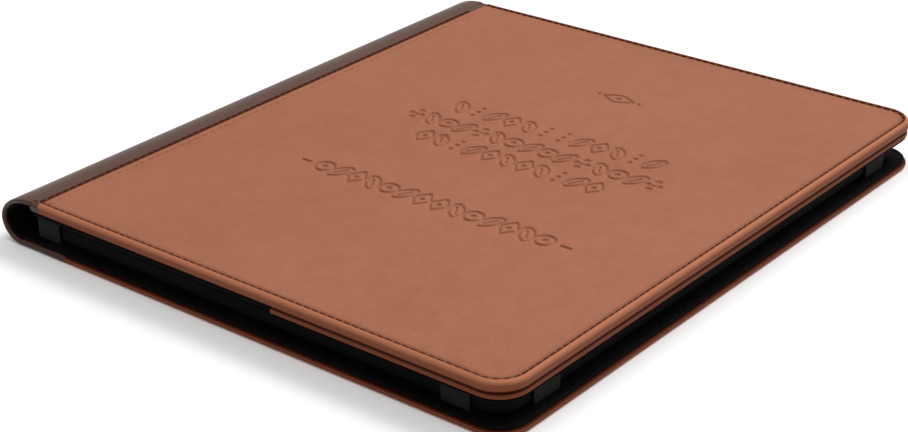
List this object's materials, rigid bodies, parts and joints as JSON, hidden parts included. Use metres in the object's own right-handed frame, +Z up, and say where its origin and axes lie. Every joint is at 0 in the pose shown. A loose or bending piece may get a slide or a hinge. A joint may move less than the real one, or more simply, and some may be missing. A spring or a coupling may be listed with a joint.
{
  "type": "e-reader",
  "caption": "E-reader held by elastic corner straps in a bound leather folio whose front cover carries an easel flap.",
  "frame": {"origin": "centre of the closed folio's outline, on the surface that it lies on", "axes": "+X from the spine to the fore edge, +Y along the spine towards the edge with the charging socket, +Z up through the front cover"},
  "size_m": [0.2094, 0.234, 0.0177],
  "materials": {
    "tan_leather": "smooth faux leather, soft satin",
    "brown_leather": "smooth faux leather, satin",
    "black_lining": "brushed microfibre",
    "cover_board": "raw grey board",
    "elastic": "woven elastic",
    "black_plastic": "fine matte texture",
    "steel": "stamped sheet",
    "circuit_board": "solder mask",
    "battery_foil": "pouch foil",
    "flex_film": "polyimide film",
    "display_glass": "matte e-paper",
    "clear_sheet": "clear, anti-glare"
  },
  "bodies": {
    "base": {"back_leather": "tan_leather", "back_spine_strip": "brown_leather", "back_board": "cover_board", "back_lining": "black_lining", "corner_strap_near_fore": "elastic", "corner_strap_near_spine": "elastic", "corner_strap_far_fore": "elastic", "corner_strap_far_spine": "elastic", "rear_housing": "black_plastic", "front_bezel": "black_plastic", "touch_lens": "clear_sheet", "light_guide": "clear_sheet", "light_strip": "flex_film", "epaper_panel": "display_glass", "mid_frame": "steel", "battery": "battery_foil", "battery_lead": "flex_film", "main_board": "circuit_board", "shield_can_1": "steel", "shield_can_2": "steel", "shield_can_3": "steel", "board_screw_1": "steel", "board_screw_2": "steel", "board_screw_3": "steel", "board_screw_4": "steel", "display_flex": "flex_film", "antenna": "flex_film", "usb_port": "steel", "power_switch": "steel", "page_switch_lower": "steel", "page_switch_upper": "steel", "page_key_board": "circuit_board"},
    "spine": {"spine_leather": "brown_leather", "spine_lining": "black_lining"},
    "front_cover": {"front_leather": "tan_leather", "front_spine_strip": "brown_leather", "front_board": "cover_board", "front_backing": "black_lining", "front_lining": "black_lining", "sleep_magnet": "steel"},
    "flap": {"flap_leather": "tan_leather", "flap_board": "cover_board", "flap_lining": "black_lining"},
    "power_key": {"power_button": "black_plastic"},
    "page_key_lower": {"page_button_lower": "black_plastic"},
    "page_key_upper": {"page_button_upper": "black_plastic"}
  },
  "joints": [
    {"name": "spine_fold", "type": "hinge", "parent": "base", "child": "spine", "pos_m": [-0.10325, 0, 0.0015], "axis": [0, -1, 0], "range_deg": [0, 90]},
    {"name": "front_fold", "type": "hinge", "parent": "spine", "child": "front_cover", "pos_m": [-0.10325, 0, 0.0162], "axis": [0, -1, 0], "range_deg": [0, 90]},
    {"name": "flap_fold", "type": "hinge", "parent": "front_cover", "child": "flap", "pos_m": [0.01675, 0, 0.0111], "axis": [0, 1, 0], "range_deg": [0, 54]},
    {"name": "power_press", "type": "slide", "parent": "base", "child": "power_key", "axis": [0, -1, 0], "range_m": [0, 0.0004], "stiffness_N_per_m": 200, "springref_m": -0.0008},
    {"name": "page_press_lower", "type": "slide", "parent": "base", "child": "page_key_lower", "axis": [0, 0, -1], "range_m": [0, 0.0004], "stiffness_N_per_m": 200, "springref_m": -0.0008},
    {"name": "page_press_upper", "type": "slide", "parent": "base", "child": "page_key_upper", "axis": [0, 0, -1], "range_m": [0, 0.0004], "stiffness_N_per_m": 200, "springref_m": -0.0008}
  ],
  "couplings": [
    {"joint": "front_fold", "follows": "spine_fold", "ratio": 1},
    {"joint": "flap_fold", "follows": "spine_fold", "ratio": 0.6}
  ]
}
